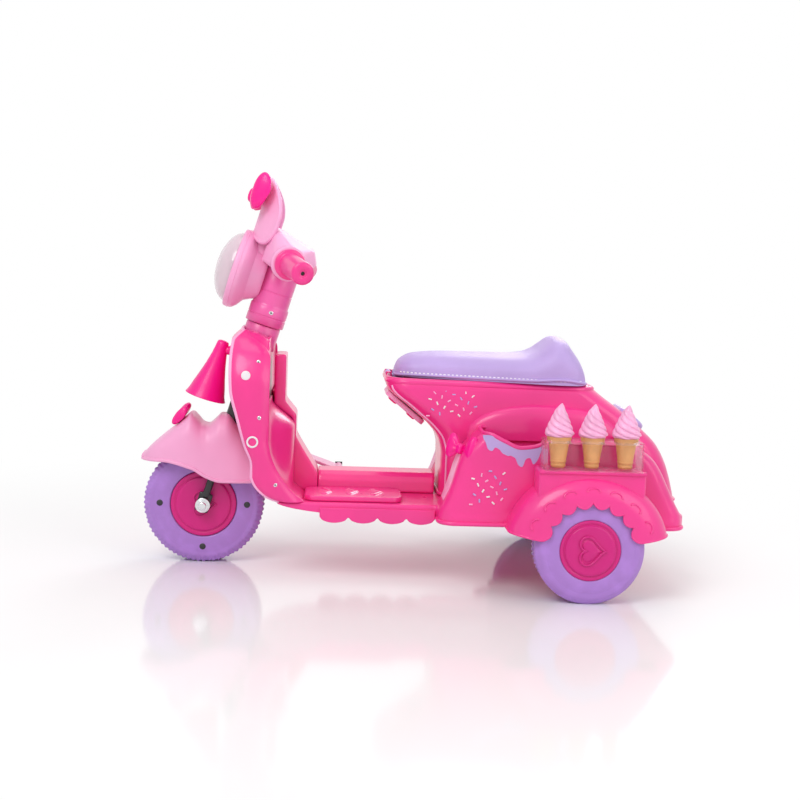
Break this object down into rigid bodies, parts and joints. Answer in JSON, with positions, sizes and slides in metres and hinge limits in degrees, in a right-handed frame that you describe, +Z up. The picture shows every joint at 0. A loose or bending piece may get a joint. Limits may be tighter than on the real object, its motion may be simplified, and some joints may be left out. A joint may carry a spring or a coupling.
{
  "type": "ice cream tricycle",
  "caption": "Child's electric three-wheeled scooter with an ice-cream theme: raked fork, leg shield, hinged seat, side tubs and racks of lift-out toy cones.",
  "frame": {"origin": "on the floor, at the middle of the object's length and width", "axes": "+X to the rear, +Y to the rider's right, +Z up"},
  "size_m": [0.848, 0.506, 0.6186],
  "materials": {
    "body_pink": "glossy moulded plastic",
    "pale_pink": "glossy moulded plastic",
    "bow_pink": "glossy moulded plastic",
    "hub_pink": "satin moulded plastic",
    "tyre_lilac": "satin blow-moulded plastic",
    "seat_lilac": "satin moulded plastic",
    "lens_white": "milky lens",
    "black_steel": "black powder coat",
    "black_plastic": "matte black plastic",
    "bright_steel": "bright zinc plate",
    "clear_acrylic": "clear acrylic",
    "cone_toy": "tan wafer and pale pink swirl"
  },
  "bodies": {
    "chassis": {"floor_pan": "body_pink", "foot_pads": "body_pink", "scallop_skirts": "body_pink", "leg_shield": "body_pink", "leg_shield_liner": "pale_pink", "shield_flanks": "body_pink", "head_tube": "black_steel", "spine_cover": "body_pink", "tunnel_cover": "body_pink", "horn_cone": "bow_pink", "seat_pod": "body_pink", "pod_front_panel": "pale_pink", "left_tub": "body_pink", "right_tub": "body_pink", "left_wheel_fender": "body_pink", "right_wheel_fender": "body_pink", "left_rack": "clear_acrylic", "right_rack": "clear_acrylic", "left_tub_bow": "bow_pink", "right_tub_bow": "bow_pink", "rear_axle": "bright_steel", "axle_blocks": "black_plastic", "battery": "black_plastic", "gearbox_motor": "black_plastic", "tail_lamp": "seat_lilac", "pedal_mount": "black_plastic", "pedal_pin": "bright_steel", "seat_hinge": "body_pink", "seat_pin": "bright_steel"},
    "steering": {"fork": "black_steel", "front_axle": "bright_steel", "axle_nuts": "bright_steel", "front_fender": "pale_pink", "fender_bow": "bow_pink", "column_cover": "pale_pink", "handlebar": "black_steel", "headset_cover": "pale_pink", "grip_left": "body_pink", "grip_right": "body_pink", "headlight_housing": "pale_pink", "headlight_lens": "lens_white", "fly_screen": "pale_pink", "headlight_bow": "bow_pink"},
    "front_wheel": {"front_tyre": "tyre_lilac", "front_hubs": "hub_pink", "front_plugs": "black_plastic"},
    "rear_left_wheel": {"rear_left_tyre": "tyre_lilac", "rear_left_hubcap": "hub_pink"},
    "rear_right_wheel": {"rear_right_tyre": "tyre_lilac", "rear_right_hubcap": "hub_pink"},
    "pedal_body": {"pedal": "pale_pink"},
    "power_switch": {"power_button": "bow_pink"},
    "direction_switch": {"direction_button": "bow_pink"},
    "seat_body": {"seat": "seat_lilac"},
    "cone_left_1_toy": {"cone_left_1": "cone_toy"},
    "cone_left_2_toy": {"cone_left_2": "cone_toy"},
    "cone_left_3_toy": {"cone_left_3": "cone_toy"},
    "cone_right_1_toy": {"cone_right_1": "cone_toy"},
    "cone_right_2_toy": {"cone_right_2": "cone_toy"},
    "cone_right_3_toy": {"cone_right_3": "cone_toy"}
  },
  "joints": [
    {"name": "steer", "type": "hinge", "parent": "chassis", "child": "steering", "pos_m": [-0.326, 0, 0.095], "axis": [0.2924, 0, 0.9563], "range_deg": [-30, 30]},
    {"name": "front_spin", "type": "hinge", "parent": "steering", "child": "front_wheel", "pos_m": [-0.326, 0, 0.095], "axis": [0, 1, 0], "continuous": true},
    {"name": "rear_left_spin", "type": "hinge", "parent": "chassis", "child": "rear_left_wheel", "pos_m": [0.255, -0.222, 0.081], "axis": [0, 1, 0], "continuous": true},
    {"name": "rear_right_spin", "type": "hinge", "parent": "chassis", "child": "rear_right_wheel", "pos_m": [0.255, 0.222, 0.081], "axis": [0, 1, 0], "continuous": true},
    {"name": "seat_lift", "type": "hinge", "parent": "chassis", "child": "seat_body", "pos_m": [-0.038, 0, 0.3095], "axis": [0, -1, 0], "range_deg": [0, 70]},
    {"name": "pedal_press", "type": "hinge", "parent": "chassis", "child": "pedal_body", "pos_m": [-0.112, 0.085, 0.14], "axis": [0, -1, 0], "range_deg": [0, 10], "stiffness_Nm_per_rad": 1.5, "springref_deg": -9.74},
    {"name": "power_press", "type": "slide", "parent": "chassis", "child": "power_switch", "axis": [0.6338, 0, 0.7735], "range_m": [0, 0.003], "stiffness_N_per_m": 300, "springref_m": -0.002},
    {"name": "direction_press", "type": "slide", "parent": "chassis", "child": "direction_switch", "axis": [0.6338, 0, 0.7735], "range_m": [0, 0.003], "stiffness_N_per_m": 300, "springref_m": -0.002},
    {"name": "cone_left_1_lift", "type": "slide", "parent": "chassis", "child": "cone_left_1_toy", "axis": [0, 0, 1], "range_m": [0, 0.1]},
    {"name": "cone_left_2_lift", "type": "slide", "parent": "chassis", "child": "cone_left_2_toy", "axis": [0, 0, 1], "range_m": [0, 0.1]},
    {"name": "cone_left_3_lift", "type": "slide", "parent": "chassis", "child": "cone_left_3_toy", "axis": [0, 0, 1], "range_m": [0, 0.1]},
    {"name": "cone_right_1_lift", "type": "slide", "parent": "chassis", "child": "cone_right_1_toy", "axis": [0, 0, 1], "range_m": [0, 0.1]},
    {"name": "cone_right_2_lift", "type": "slide", "parent": "chassis", "child": "cone_right_2_toy", "axis": [0, 0, 1], "range_m": [0, 0.1]},
    {"name": "cone_right_3_lift", "type": "slide", "parent": "chassis", "child": "cone_right_3_toy", "axis": [0, 0, 1], "range_m": [0, 0.1]}
  ]
}
